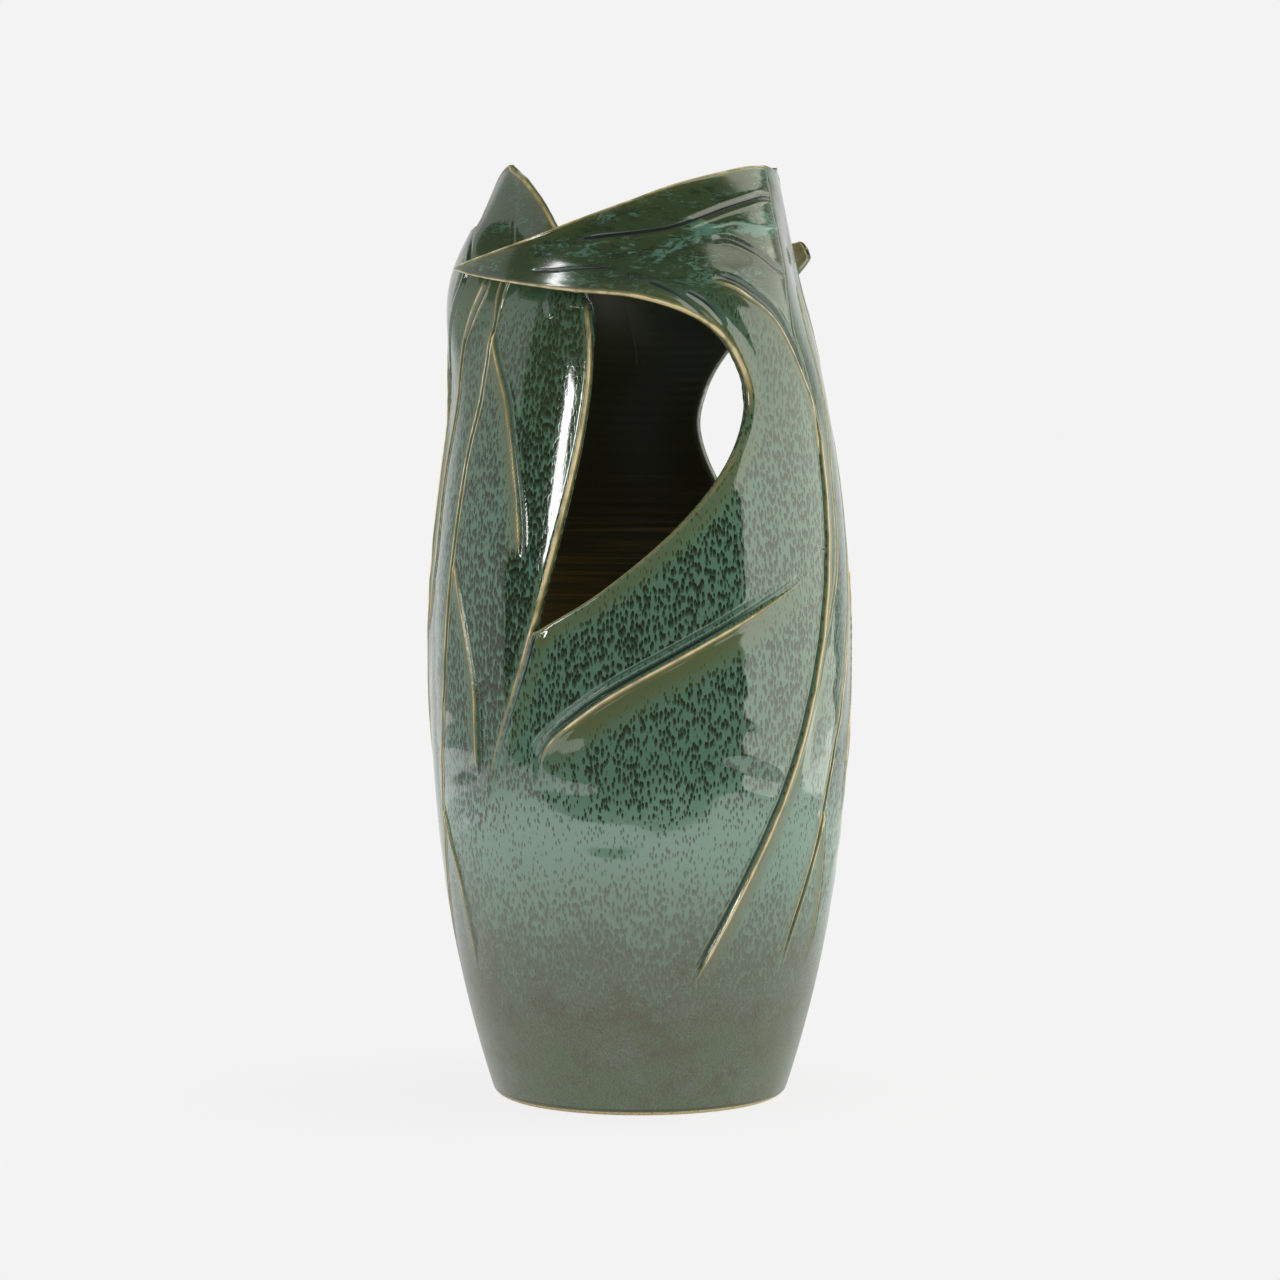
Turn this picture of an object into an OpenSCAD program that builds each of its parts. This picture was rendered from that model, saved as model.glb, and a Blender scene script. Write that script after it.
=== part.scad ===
// Stoneware vase with swirling leaves.
// A bare foot ring carries a wheel-thrown base. Three upright leaves, three swirling leaves and three
// fold leaves are luted edge to edge on it. Each swirling leaf turns over a pierced mouth and ends in
// a raised collar whose free tip crosses the upright leaf before it.
// Turns are degrees round the axis from the front (-Y) towards +X. Heights are from the table.

/* [Body] */
// Height of the tallest leaf tip above the table
vase_h = 384; // [346:2:420]
// Widest radius of the body
belly_r = 87.4; // [82:0.2:106]
// Height of the widest place
belly_h = 188; // [160:2:225]
// Radius at the table, before the edge is softened
foot_r = 60; // [52:0.5:72]
// Radius at the shoulder, under the collars
shoulder_r = 75.6; // [72:0.2:82]
// Height of the shoulder
shoulder_h = 300; // [285:1:310]
// Radius at the neck, behind the collars
neck_r = 67; // [63:0.2:72]
// Height of the neck
neck_h = 336; // [330:1:342]
// Radius at the rim corners
rim_r = 57; // [52:0.5:62]
// Thickness of the clay wall
wall_t = 6.2; // [5:0.1:7.4]

/* [Foot and base] */
// Height of the bare foot ring
foot_ring_h = 3; // [2:0.5:4]
// Width of the flat that the vase rests on
foot_ring_w = 12; // [8:1:18]
// Radius of the softened edge above the foot
foot_edge_r = 3.5; // [2:0.5:5]
// Thickness of the floor
floor_t = 8; // [6:0.5:11]
// Height of the thrown base, where the leaves are luted on
base_h = 52; // [44:1:60]
// Height from one throwing ring inside the base to the next
ring_pitch = 4.4; // [3:0.1:7]
// Depth of the throwing rings
ring_depth = 0.5; // [0:0.1:0.8]

/* [Leaves] */
// Turn of the three stems
stem_at = [-79, 61, 188]; // [-180:1:360]
// Turn of the three free leaf edges low on the body
edge_at = [0, 122, 242]; // [-180:1:360]
// Extra turn of each free edge beside its mouth
edge_spread = [0, 34, 4]; // [-10:1:40]
// Sideways sway of each seam at the neck
seam_sway = [25, 0, 6]; // [-10:1:28]
// Height of the three upright leaf tips
leaf_tip_h = [382, 384, 377]; // [362:1:384]
// Share of its width at which each upright leaf comes to its tip
leaf_tip_share = [0.19, 0.28, 0.15]; // [0:0.01:0.5]
// Clay left between neighbouring leaves for the slip that joins them
slip_gap = 0.5; // [0.4:0.1:0.8]
// Height of the ridge where one leaf laps the next
ridge_h = 1.6; // [0.5:0.1:2.4]
// Height of the rolled bead on a free edge
bead_h = 1.3; // [0.5:0.1:1.8]
// Depth of the hollow that runs along the bead
hollow_h = 0.9; // [0:0.1:1.2]

/* [Collars] */
// How far each collar stands out from the neck
swell = 12.4; // [9:0.1:13.5]
// Turn from each stem back to the tip of its collar
collar_reach = [83, 129, 86]; // [75:1:132]
// Height of each collar's tip
collar_tip_h = [344, 338, 350]; // [336:1:352]
// Height at which each collar leaves its stem
collar_top_h = [358, 381, 373]; // [352:1:382]
// Thickness of the collar where it crosses the leaf before it
collar_t = 4.5; // [3.5:0.1:5]
// Thickness at the free tip
tip_t = 2.2; // [1.8:0.1:3]
// Height of the blunt end at each collar's tip
tip_blunt = [1.3, 1.3, 7]; // [1:0.1:9]
// Width in degrees of the band between a mouth and its stem
mouth_band = 28.6; // [24:0.2:32]

/* [Hidden] */

glaze_deep = "#3d503e";
glaze_pale = "#79877a";
glaze_collar = "#354230";
glaze_low = "#6b725d";
bare_clay = "#c9b48e";

// The height at which the leaf lines below are drawn; they stretch with vase_h.
drawn_h = 384;
// Power of the curve from the foot up to the belly
belly_power = 2.3;
// Slopes of the wall, radius over height, at the shoulder, the neck and the rim
shoulder_slope = -0.2;
neck_slope = -0.25;
rim_slope = -0.22;
// Height of a collar's fullest place, how fast it fades below and above, and the turns back from
// each stem at which it starts and is full
swell_h = 338;
swell_fade_low = 24.5;
swell_fade_high = 21.5;
swell_from = [-26, -22, -22];
swell_full = [6, 18, 18];
// Height of the seams' widest sway and how fast it fades
sway_h = 337;
sway_fade = 16;
// Heights of a swirling leaf: its low tail, the corner of its mouth and the apex of the fold
tail_h = 105;
corner_h = 191;
apex_h = 224;
// Share of the wall by which a free edge is rounded off on each face
lip_drop = 0.3;
// The least height over which an upright leaf closes to its tip from the left
close_h = 8;
// Height of the midrib, depth of the groove beside a lap, and how much of a bead a collar hides
rib_h = 0.9;
groove_h = 0.7;
bead_hidden = 0.6;
// How much thinner an upright leaf gets towards its tip, and how far its crest is rounded
leaf_thin = 2.6;
crest_round = 1.2;
// How far each collar's free tip is lifted, so that it clears what it crosses
tip_lift = [0.6, 2.8, 0.2];
// Shares of a collar at which its tip starts to lift and is fully lifted and thinned
lift_from = 0.3;
tip_from = 0.88;
// Share of its rounding that a collar's edge loses towards the tip
tip_sharp = 0.8;
// Extra room at the fold's edge and at the neck's seams, because they run aslant
fold_aslant = 2.2;
neck_aslant = 2;
// The proportions at which the mouth's lip is drawn: the turn back from the stem to its corner, to
// its far side and to the collar's tip, and the heights of its far side and of that tip
drawn_corner = 86;
drawn_band = 28.6;
drawn_reach = 131;
drawn_far_h = 281;
drawn_tip_h = 338;
// The turn back from the stem at which the lip has risen with the tip
risen = 108;
// How far below the apex the fold leaf ends
apex_cut = 3.2;
// Height halfway up the fold, where a swirling leaf's tail becomes its low lip
half_h = 176;
// Rows of a blade's mesh in each stretch
tail_rows = 9;
lip_rows = 9;
flank_rows = 18;
collar_rows = 16;
leaf_rows = 42;
// Power by which an upright leaf's rows crowd towards its tip
rows_crowd = 1.5;
foot_rows = 8;
base_steps = 44;
edge_steps = 5;
side_steps = 12;
cove_steps = 5;
// Heights of the rows along the fold, shared by the leaves on both sides of it
fold_hs = concat([for (n = [0 : tail_rows - 1]) tail_h + (half_h - tail_h) * n / tail_rows],
                 [for (n = [0 : lip_rows]) half_h + (apex_h - half_h) * n / lip_rows]);

// Which point of the lip is its far side
lip_far = 3;
// Which points of the lip stand level with the apex of the fold and with the top of the stem
low_knot = 2.6;
top_knot = 7;

// Lines as [height, turn from the stem] and [height, turn from the leaf's own place].
stem_lean = [[40, -50], [60, -43], [93, -31], [133, -17.8], [172, -8.4], [204, -3], [240, 0.6],
             [282, 0.8], [298, -3.4], [313, -8.8], [345, -8.8], [368, -4], [384, 1]];
edge_lean = [[40, -62], [60, -59], [108, -47.8], [142, -40.6], [174, -32], [204, -25.8],
             [254, -17.6], [285, -14.6], [305, -14.7], [321, -16.5]];
// Share of its width that an upright leaf keeps as it narrows to its tip
leaf_narrow = [[300, 1], [321, 1], [351, 0.735], [366, 0.6], [376, 0.43], [381, 0.28], [384, 0.2]];
// Share of the leaf's width at which its midrib runs
midrib_line = [[50, 0.68], [104, 0.6], [158, 0.47], [200, 0.38], [285, 0.4], [345, 0.45], [384, 0.5]];
// Share of the way from the free edge to the next stem along which the fold rises
fold_line = [[105, 0.01], [112, 0.05], [122, 0.12], [134, 0.165], [147, 0.17], [159, 0.243],
             [169, 0.33], [184, 0.503], [200, 0.7], [212, 0.853], [224, 0.985]];
// The mouth's lip as [turn back from the stem, height], from its low corner round to the collar tip
lip_line = [[69, 206], [50, 231], [35, 258], [28.6, 281], [32.5, 298], [43, 311], [61, 319.5],
            [84, 323.5], [108, 330]];
// The collar's rim as [share of its reach, share of the fall from its top to its tip]
rim_line = [[0.13, 0.075], [0.36, 0.3], [0.5, 0.5], [0.62, 0.68], [0.74, 0.85], [0.86, 0.95]];

// ---- curves ----

function ease(a, b, x) =
    let (t = min(1, max(0, (x - a) / (b - a))))
    t * t * (3 - 2 * t);

function hermite(p, q, m, n, t) =
    let (t2 = t * t, t3 = t * t * t)
    p * (2 * t3 - 3 * t2 + 1) + q * (3 * t2 - 2 * t3) + m * (t3 - 2 * t2 + t) + n * (t3 - t2);

function span(x, pts, i = 0) = (i >= len(pts) - 2 || x < pts[i + 1][0]) ? i : span(x, pts, i + 1);

function slope(pts, i) =
    let (a = pts[max(0, i - 1)], b = pts[min(len(pts) - 1, i + 1)])
    (b[1] - a[1]) / (b[0] - a[0]);

// A smooth curve through points that rise in x
function through(x, pts) =
    let (i = span(x, pts), p = pts[i], q = pts[i + 1], w = q[0] - p[0])
    hermite(p[1], q[1], slope(pts, i) * w, slope(pts, i + 1) * w, min(1, max(0, (x - p[0]) / w)));

// A smooth path through free points, where k counts the points passed
function path(k, pts) =
    let (i = min(len(pts) - 2, floor(k)),
         before = pts[max(0, i - 1)],
         p = pts[i],
         q = pts[i + 1],
         after = pts[min(len(pts) - 1, i + 2)])
    hermite(p, q, (q - before) / (i > 0 ? 2 : 1), (after - p) / (i < len(pts) - 2 ? 2 : 1), k - i);

function up(h) = h * vase_h / drawn_h;
function drawn(z) = z * drawn_h / vase_h;
function spot(turn, z, r) = [r * sin(turn), -r * cos(turn), z];

// ---- the wall ----

function upper_r(z) =
    z < shoulder_h
    ? hermite(belly_r, shoulder_r, 0, shoulder_slope * (shoulder_h - belly_h),
              (z - belly_h) / (shoulder_h - belly_h))
    : z < neck_h
    ? hermite(shoulder_r, neck_r, shoulder_slope * (neck_h - shoulder_h),
              neck_slope * (neck_h - shoulder_h), (z - shoulder_h) / (neck_h - shoulder_h))
    : hermite(neck_r, rim_r, neck_slope * (vase_h - neck_h), rim_slope * (vase_h - neck_h),
              (z - neck_h) / (vase_h - neck_h));

function wall_r(z) =
    z < belly_h
    ? foot_r + (belly_r - foot_r) * (1 - pow(1 - z / belly_h, belly_power))
    : upper_r(z);

// A bell of height h round the height peak
function bell(h, peak, fade) = exp(-pow((h - peak) / fade, 2) / 2);

// How far collar j lifts the wall at a turn c back from its stem
function swell_at(j, c, z) =
    let (h = drawn(z), fade = h < swell_h ? swell_fade_low : swell_fade_high)
    swell * ease(swell_from[j % 3], swell_full[j % 3], c) * bell(h, swell_h, fade);

// ---- the lines of the leaves ----

function stem_turn(j, z) =
    let (h = drawn(z), i = j % 3)
    stem_at[i] + (j > 2 ? 360 : 0) + through(h, stem_lean)
    + seam_sway[i] * bell(h, sway_h, sway_fade);

function low_edge_turn(i, z) =
    let (h = min(drawn(z), 321))
    edge_at[i] + through(h, edge_lean) + edge_spread[i] * ease(120, 280, h);

// The left side leaves the stem above the collar and comes round to the tip in a quarter turn
function leaf_left(i, z) =
    let (s = stem_turn(i, z),
         tip = leaf_tip_h[i],
         start = max(collar_top_h[i], tip - close_h),
         t = min(1, max(0, (drawn(z) - start) / (tip - start))))
    s + (1 - sqrt(1 - t * t)) * leaf_tip_share[i] * (low_edge_turn(i, z) - s);

function leaf_right(i, z) =
    let (s = stem_turn(i, z),
         h = min(drawn_h, drawn(z) * drawn_h / drawn(leaf_tip_h[i])),
         keep = max(through(drawn(z) > 321 ? h : drawn(z), leaf_narrow), leaf_tip_share[i] + 0.015))
    s + keep * (low_edge_turn(i, z) - s);

function fold_turn(i, z) =
    let (e = low_edge_turn(i, z), s = stem_turn(i + 1, z), h = drawn(z))
    h <= tail_h ? e : e + through(h, fold_line) * (s - e);

// Lip of the mouth between upright leaf i and stem j: k counts the lip's points
function lip_points(i, j) =
    let (corner = [low_edge_turn(i, up(corner_h)), up(corner_h)],
         low = (stem_turn(j, up(drawn_far_h)) - corner[0] - mouth_band) / (drawn_corner - drawn_band),
         reach = collar_reach[j % 3],
         high = (reach - mouth_band) / (drawn_reach - drawn_band),
         tip_rise = up(collar_tip_h[j % 3]) - up(drawn_tip_h),
         place = stem_at[j % 3] + (j > 2 ? 360 : 0))
    concat([corner],
           [for (n = [0 : len(lip_line) - 1])
            let (p = lip_line[n],
                 grow = n < lip_far ? low : high,
                 rise = n > lip_far
                        ? (tip_rise + (1 - high) * up(drawn_tip_h - p[1])) * ease(drawn_band, risen, p[0])
                        : 0)
            [place - mouth_band - (p[0] - drawn_band) * grow, up(p[1]) + rise]],
           [[place - reach, up(collar_tip_h[j % 3])]]);

// Rim of the collar from its stem to its tip
function rim_points(j) =
    let (top = up(collar_top_h[j % 3]),
         start = stem_turn(j, top),
         tip = [stem_at[j % 3] + (j > 2 ? 360 : 0) - collar_reach[j % 3],
                up(collar_tip_h[j % 3]) + tip_blunt[j % 3]])
    concat([[start, top]],
           [for (p = rim_line) [start + p[0] * (tip[0] - start), top + p[1] * (tip[1] - top)]],
           [tip]);

// ---- blades ----

// Closes a stack of rings, each the outer points from left to right and then the inner ones
module skin(rings) {
    n = len(rings[0]);
    m = n / 2;
    last = (len(rings) - 1) * n;
    sides = [for (r = [0 : len(rings) - 2], k = [0 : n - 1])
             let (a = r * n + k, b = r * n + (k + 1) % n)
             each [[a, a + n, b + n], [a, b + n, b]]];
    ends = [for (k = [0 : m - 2])
            let (p = n - 1 - k)
            each [[k, k + 1, p - 1], [k, p - 1, p],
                  [last + k + 1, last + k, last + p], [last + k + 1, last + p, last + p - 1]]];
    polyhedron(points = [for (ring = rings) each ring], faces = concat(sides, ends), convexity = 8);
}

// One ring across a blade from [turn, height] a to b. Rows of cols are [share, lift, inset].
// The blade stops half a slip gap short of each side, or more where its left side runs aslant.
// lifted raises the whole ring off the wall.
function ring(a, b, cols, j, thick, aslant = 1, lifted = 0) =
    let (r = wall_r(a[1]),
         size = norm([(b[0] - a[0]) * PI / 180 * r, b[1] - a[1]]),
         pull = min(0.3, slip_gap / 2 / size),
         pull_a = min(0.4, pull * aslant),
         places = [for (c = cols)
                   let (s = pull_a + c[0] * (1 - pull - pull_a),
                        turn = a[0] + s * (b[0] - a[0]),
                        z = a[1] + s * (b[1] - a[1]),
                        bulge = swell_at(j, stem_turn(j, z) - turn, z))
                   [turn, z, wall_r(z) + bulge + lifted, c[1], c[2]]])
    concat([for (p = places) spot(p[0], p[1], p[2] + p[3] - p[4])],
           [for (n = [len(places) - 1 : -1 : 0])
            let (p = places[n])
            spot(p[0], p[1], p[2] - thick + p[4])]);

// Relief fades out towards the smooth thrown base
function relief_fade(z) = ease(base_h, up(120), z);

module upright_leaf(i) {
    rings = [for (n = [0 : leaf_rows])
             let (z = up(leaf_tip_h[i])
                      - (up(leaf_tip_h[i]) - base_h) * pow(1 - n / leaf_rows, rows_crowd),
                  f = relief_fade(z),
                  m = through(drawn(z), midrib_line),
                  under = ease(up(300), up(318), z),
                  free = ease(up(corner_h), up(corner_h + 8), z) * wall_t * lip_drop,
                  bead = bead_h * f * (1 - bead_hidden * under),
                  crest = ease(up(340), up(leaf_tip_h[i]), z),
                  lap = ridge_h * f * (1 - under),
                  hollow = hollow_h * f * (1 - under),
                  thick = wall_t - leaf_thin * ease(up(312), up(378), z),
                  cols = [[0, lap, crest * crest_round], [0.05, lap * 0.6, 0], [0.14, 0, 0],
                          [m - 0.06, 0, 0], [m, rib_h * f, 0], [m + 0.06, 0, 0],
                          [0.5 * m + 0.42, 0, 0], [0.87, -hollow, 0], [0.95, bead, 0], [1, bead, free]])
             ring([leaf_left(i, z), z], [leaf_right(i, z), z], cols, i, thick,
                  z > up(shoulder_h) ? neck_aslant : 1)];
    color(glaze_deep) skin(rings);
}

module fold_leaf(i) {
    zs = concat([for (n = [0 : foot_rows - 1]) base_h + (up(tail_h) - base_h) * n / foot_rows],
                [for (h = fold_hs) up(min(h, apex_h - apex_cut))]);
    rings = [for (z = zs)
             let (f = relief_fade(z),
                  lap = ridge_h * f,
                  cols = [[0, lap, 0], [0.04, lap, 0], [0.1, lap * 0.3, 0], [0.22, 0, 0], [0.36, 0, 0],
                          [0.5, 0, 0], [0.64, 0, 0], [0.78, 0, 0], [0.9, 0, 0], [1, -groove_h * f, 0]])
             ring([fold_turn(i, z), z], [stem_turn(i + 1, z), z], cols, i + 1, wall_t,
                  z > up(tail_h) ? fold_aslant : 1)];
    color(glaze_pale) skin(rings);
}

// A swirling leaf in four stretches: its tail, its low lip, its flank and its collar
module swirl_leaf(i) {
    j = i + 1;
    lip = lip_points(i, j);
    rim = rim_points(j);
    end_knot = len(lip) - 1;
    tail = [for (n = [0 : tail_rows - 1])
            let (s = n / tail_rows,
                 zi = up(tail_h + 1.5 + (corner_h - tail_h - 1.5) * s),
                 zo = up(fold_hs[n]))
            [[low_edge_turn(i, zi), zi], [fold_turn(i, zo), zo], 0, s]];
    low = [for (n = [0 : lip_rows - 1])
           let (s = n / lip_rows, zo = up(fold_hs[n + tail_rows]))
           [path(low_knot * s, lip), [fold_turn(i, zo), zo], 1, s]];
    flank = [for (n = [0 : flank_rows - 1])
             let (s = n / flank_rows, zo = up(apex_h) + (rim[0][1] - up(apex_h)) * s)
             [path(low_knot + (top_knot - low_knot) * s, lip), [stem_turn(j, zo), zo], 2, s]];
    collar = [for (n = [0 : collar_rows])
              let (s = n / collar_rows)
              [path(top_knot + (end_knot - top_knot) * s, lip), path((len(rim) - 1) * s, rim), 3, s]];
    rings = [for (row = concat(tail, low, flank, collar))
             let (part = row[2],
                  s = row[3],
                  f = relief_fade(row[1][1]),
                  free_in = part == 0 ? 0 : wall_t * lip_drop * (part == 3 ? 1 - tip_sharp * s : 1),
                  free_out = part == 3 ? wall_t * lip_drop * (1 - tip_sharp * s) : 0,
                  dip = part == 3 ? 0 : -groove_h * f,
                  lifted = part == 3 ? tip_lift[j % 3] * ease(lift_from, tip_from, s) : 0,
                  thin = part < 2 ? wall_t : part == 2 ? wall_t + (collar_t - wall_t) * ease(0.5, 1, s)
                       : collar_t + (tip_t - collar_t) * ease(0.2, tip_from, s),
                  cols = [[0, 0, free_in], [0.08, 0, 0], [0.22, 0, 0], [0.4, 0, 0], [0.6, 0, 0],
                          [0.78, 0, 0], [0.92, 0, 0], [1, dip, free_out]])
             ring(row[0], row[1], cols, j, thin, 1, lifted)];
    color(glaze_collar) skin(rings);
}

// ---- the thrown parts ----

// The wall's outline down to the table, with its lowest edge softened by a quarter circle
function foot_side(z) =
    let (drop = max(0, 1 - z / foot_edge_r))
    [wall_r(z) - foot_edge_r * (1 - sqrt(1 - drop * drop)), z];

module foot_ring() {
    side = [for (n = [0 : edge_steps]) foot_side(foot_ring_h * n / edge_steps)];
    flat_r = foot_r - foot_edge_r;
    color(bare_clay)
        rotate_extrude($fn = 120)
            polygon(concat(side, [[flat_r - foot_ring_w, foot_ring_h], [flat_r - foot_ring_w, 0]]));
}

module thrown_base() {
    floor_h = foot_ring_h + floor_t;
    cove_h = floor_h + wall_t;
    outside = [for (n = [0 : side_steps])
               foot_side(foot_ring_h + (base_h - foot_ring_h) * pow(n / side_steps, 2))];
    inside = [for (n = [base_steps : -1 : 1])
              let (z = cove_h + (base_h - cove_h) * n / base_steps,
                   fade = ease(cove_h, cove_h + ring_pitch, z) * (1 - ease(base_h - ring_pitch, base_h, z)))
              [wall_r(z) - wall_t - ring_depth / 2 * fade * sin(360 * z / ring_pitch), z]];
    cove = [for (n = [0 : cove_steps])
            let (a = -90 * n / cove_steps)
            [wall_r(cove_h) - 2 * wall_t + wall_t * cos(a), cove_h + wall_t * sin(a)]];
    color(glaze_low)
        rotate_extrude($fn = 120)
            polygon(concat([[0, foot_ring_h]], outside, inside, cove, [[0, floor_h]]));
}

foot_ring();
thrown_base();
upright_leaf(0);  // upright_leaf_1
upright_leaf(1);  // upright_leaf_2
upright_leaf(2);  // upright_leaf_3
swirl_leaf(0);  // swirl_leaf_1
swirl_leaf(1);  // swirl_leaf_2
swirl_leaf(2);  // swirl_leaf_3
fold_leaf(0);  // fold_leaf_1
fold_leaf(1);  // fold_leaf_2
fold_leaf(2);  // fold_leaf_3
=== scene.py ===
"""A stoneware vase with swirling leaves: its glazed surfaces, built piece by piece round the CAD frame.

Lengths are in millimetres on a vase 384 mm high, and mm turns them into metres at the frame's size.
Places on the wall are (turn, height): the turn is in degrees round the axis, from the front to the right.
"""
import math
import bpy
import numpy as np
from mathutils import Matrix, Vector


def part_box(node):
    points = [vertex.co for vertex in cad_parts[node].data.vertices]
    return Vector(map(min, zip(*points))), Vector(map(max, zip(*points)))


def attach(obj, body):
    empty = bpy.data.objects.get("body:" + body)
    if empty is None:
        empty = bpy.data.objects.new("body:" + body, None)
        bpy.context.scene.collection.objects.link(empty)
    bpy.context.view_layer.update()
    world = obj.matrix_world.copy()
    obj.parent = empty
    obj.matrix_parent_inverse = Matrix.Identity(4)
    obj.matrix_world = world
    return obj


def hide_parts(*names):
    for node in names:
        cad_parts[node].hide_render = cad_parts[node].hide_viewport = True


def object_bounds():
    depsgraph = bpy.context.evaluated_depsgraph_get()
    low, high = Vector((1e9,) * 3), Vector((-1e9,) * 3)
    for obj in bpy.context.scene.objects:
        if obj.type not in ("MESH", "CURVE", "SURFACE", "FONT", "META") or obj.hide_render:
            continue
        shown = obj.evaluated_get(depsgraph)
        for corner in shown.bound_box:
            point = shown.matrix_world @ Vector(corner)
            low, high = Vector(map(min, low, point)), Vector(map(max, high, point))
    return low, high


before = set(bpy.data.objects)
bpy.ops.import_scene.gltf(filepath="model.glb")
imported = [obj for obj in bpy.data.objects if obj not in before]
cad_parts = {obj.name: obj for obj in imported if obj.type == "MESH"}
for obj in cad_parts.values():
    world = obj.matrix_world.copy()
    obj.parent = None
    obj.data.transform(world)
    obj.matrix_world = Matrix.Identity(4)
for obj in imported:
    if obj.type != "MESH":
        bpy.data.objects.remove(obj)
cad_low, cad_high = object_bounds()

# ---- The room ----
# A camera at the height of the belly and a pale table top whose front edge lies half a metre before
# the vase. A soft box stands on the right, another hangs over it, and a dim panel and a narrow bright
# strip stand on the left. What lies beyond is dark in reflections, but for the pale wall behind.
drawn_h = 384
mm = cad_high.z / drawn_h
eye_h = 188
eye_far = 1070
view_wide = 534.5
film_wide = 36
nearest_seen = 20

scene = bpy.context.scene
scene.view_settings.view_transform = "Standard"
camera = bpy.data.objects.new("camera", bpy.data.cameras.new("camera"))
camera.data.sensor_width = film_wide
camera.data.lens = film_wide * eye_far / view_wide
camera.data.clip_start = nearest_seen * mm
camera.location = (0, -eye_far * mm, eye_h * mm)
camera.rotation_euler = (math.pi / 2, 0, 0)
scene.collection.objects.link(camera)
scene.camera = camera


def node(tree, kind, inputs=(), **settings):
    """Adds a shader node, sets its settings, and fills its inputs with numbers or with other outputs."""
    made = tree.nodes.new("ShaderNode" + kind)
    for name, value in settings.items():
        setattr(made, name, value)
    for place, value in dict(inputs).items():
        if isinstance(value, bpy.types.NodeSocket):
            tree.links.new(value, made.inputs[place])
        else:
            made.inputs[place].default_value = value
    return made


def linear(red, green, blue):
    """A screen colour, 0 to 255, as the linear colour that a shader takes."""
    channels = np.array([red, green, blue]) / 255
    low = channels / 12.92
    high = ((channels + 0.055) / 1.055) ** 2.4
    return tuple(np.where(channels < 0.04045, low, high)) + (1.0,)


def calculate(tree, operation, first, second=0.0):
    """One sum on two numbers or outputs."""
    return node(tree, "Math", {0: first, 1: second}, operation=operation).outputs[0]


def times(tree, first, second):
    """One number or output times another."""
    return calculate(tree, "MULTIPLY", first, second)


def plus(tree, first, second):
    """One number or output and another."""
    return calculate(tree, "ADD", first, second)


def less(tree, first, second):
    """One number or output less another."""
    return calculate(tree, "SUBTRACT", first, second)


def rising(tree, value, low, high, start=0.0, end=1.0, bend="LINEAR"):
    """A number that goes from start to end while a value goes from low to high, and holds beyond them."""
    way = {0: value, 1: low, 2: high, 3: start, 4: end}
    return node(tree, "MapRange", way, interpolation_type=bend).outputs[0]


backdrop = linear(243, 243, 243)
room_strength = 0.58
dark_strength = 0.05
wall_starts, wall_full = 0.6, 0.85
world = bpy.data.worlds.new("studio")
scene.world = world
world.use_nodes = True
sky = world.node_tree
sky.nodes.clear()
ray = node(sky, "LightPath").outputs
heading = node(sky, "TexCoord").outputs["Generated"]
along = node(sky, "SeparateXYZ", {0: heading}).outputs["Y"]
behind = rising(sky, along, wall_starts, wall_full)
seen = calculate(sky, "MAXIMUM", ray["Is Glossy Ray"], ray["Is Transmission Ray"])
pale = calculate(sky, "MAXIMUM", ray["Is Camera Ray"], times(sky, seen, behind))
room_light = times(sky, less(sky, 1.0, seen), room_strength)
dark_room = plus(sky, room_light, times(sky, seen, dark_strength))
shine = calculate(sky, "MAXIMUM", times(sky, pale, backdrop[0]), dark_room)
lit = node(sky, "Background", {"Color": (1, 1, 1, 1), "Strength": shine})
node(sky, "OutputWorld", {"Surface": lit.outputs[0]})

table_front = 480
table_side = 900
table_back = 6000
shade_near, shade_far = 100, 300
shade_share = 0.10
glow_lost = 0.09
corners = [(-table_side, -table_front), (table_side, -table_front), (table_side * 4, table_back),
           (-table_side * 4, table_back)]
table_mesh = bpy.data.meshes.new("table_top")
table_mesh.from_pydata([(x * mm, y * mm, 0) for x, y in corners], [], [(0, 1, 2, 3)])
table_top = bpy.data.objects.new("table_top", table_mesh)
scene.collection.objects.link(table_top)
table_paint = bpy.data.materials.new("table_paint")
table_paint.use_nodes = True
paint = table_paint.node_tree
paint.nodes.clear()
place = node(paint, "TexCoord").outputs["Object"]
from_vase = node(paint, "VectorMath", {0: place}, operation="LENGTH").outputs["Value"]
near_vase = rising(paint, from_vase, shade_near * mm, shade_far * mm, 1.0, 0.0, "SMOOTHSTEP")
shade_keep = times(paint, near_vase, shade_share)
grey = node(paint, "CombineColor", {0: shade_keep, 1: shade_keep, 2: shade_keep})
matt = node(paint, "BsdfDiffuse", {"Color": grey.outputs[0]})
glow_left = less(paint, 1.0, times(paint, near_vase, glow_lost))
glow = node(paint, "Emission", {"Color": backdrop, "Strength": glow_left})
seen_top = node(paint, "AddShader", {0: matt.outputs[0], 1: glow.outputs[0]})
pale_top = node(paint, "BsdfDiffuse", {"Color": (0.8, 0.8, 0.78, 1)})
path = node(paint, "LightPath").outputs
looked_at = calculate(paint, "MAXIMUM", path["Is Camera Ray"], path["Is Glossy Ray"])
top = node(paint, "MixShader", {0: looked_at, 1: pale_top.outputs[0], 2: seen_top.outputs[0]})
node(paint, "OutputMaterial", {"Surface": top.outputs[0]})
table_mesh.materials.append(table_paint)


panel_far = 900


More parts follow.
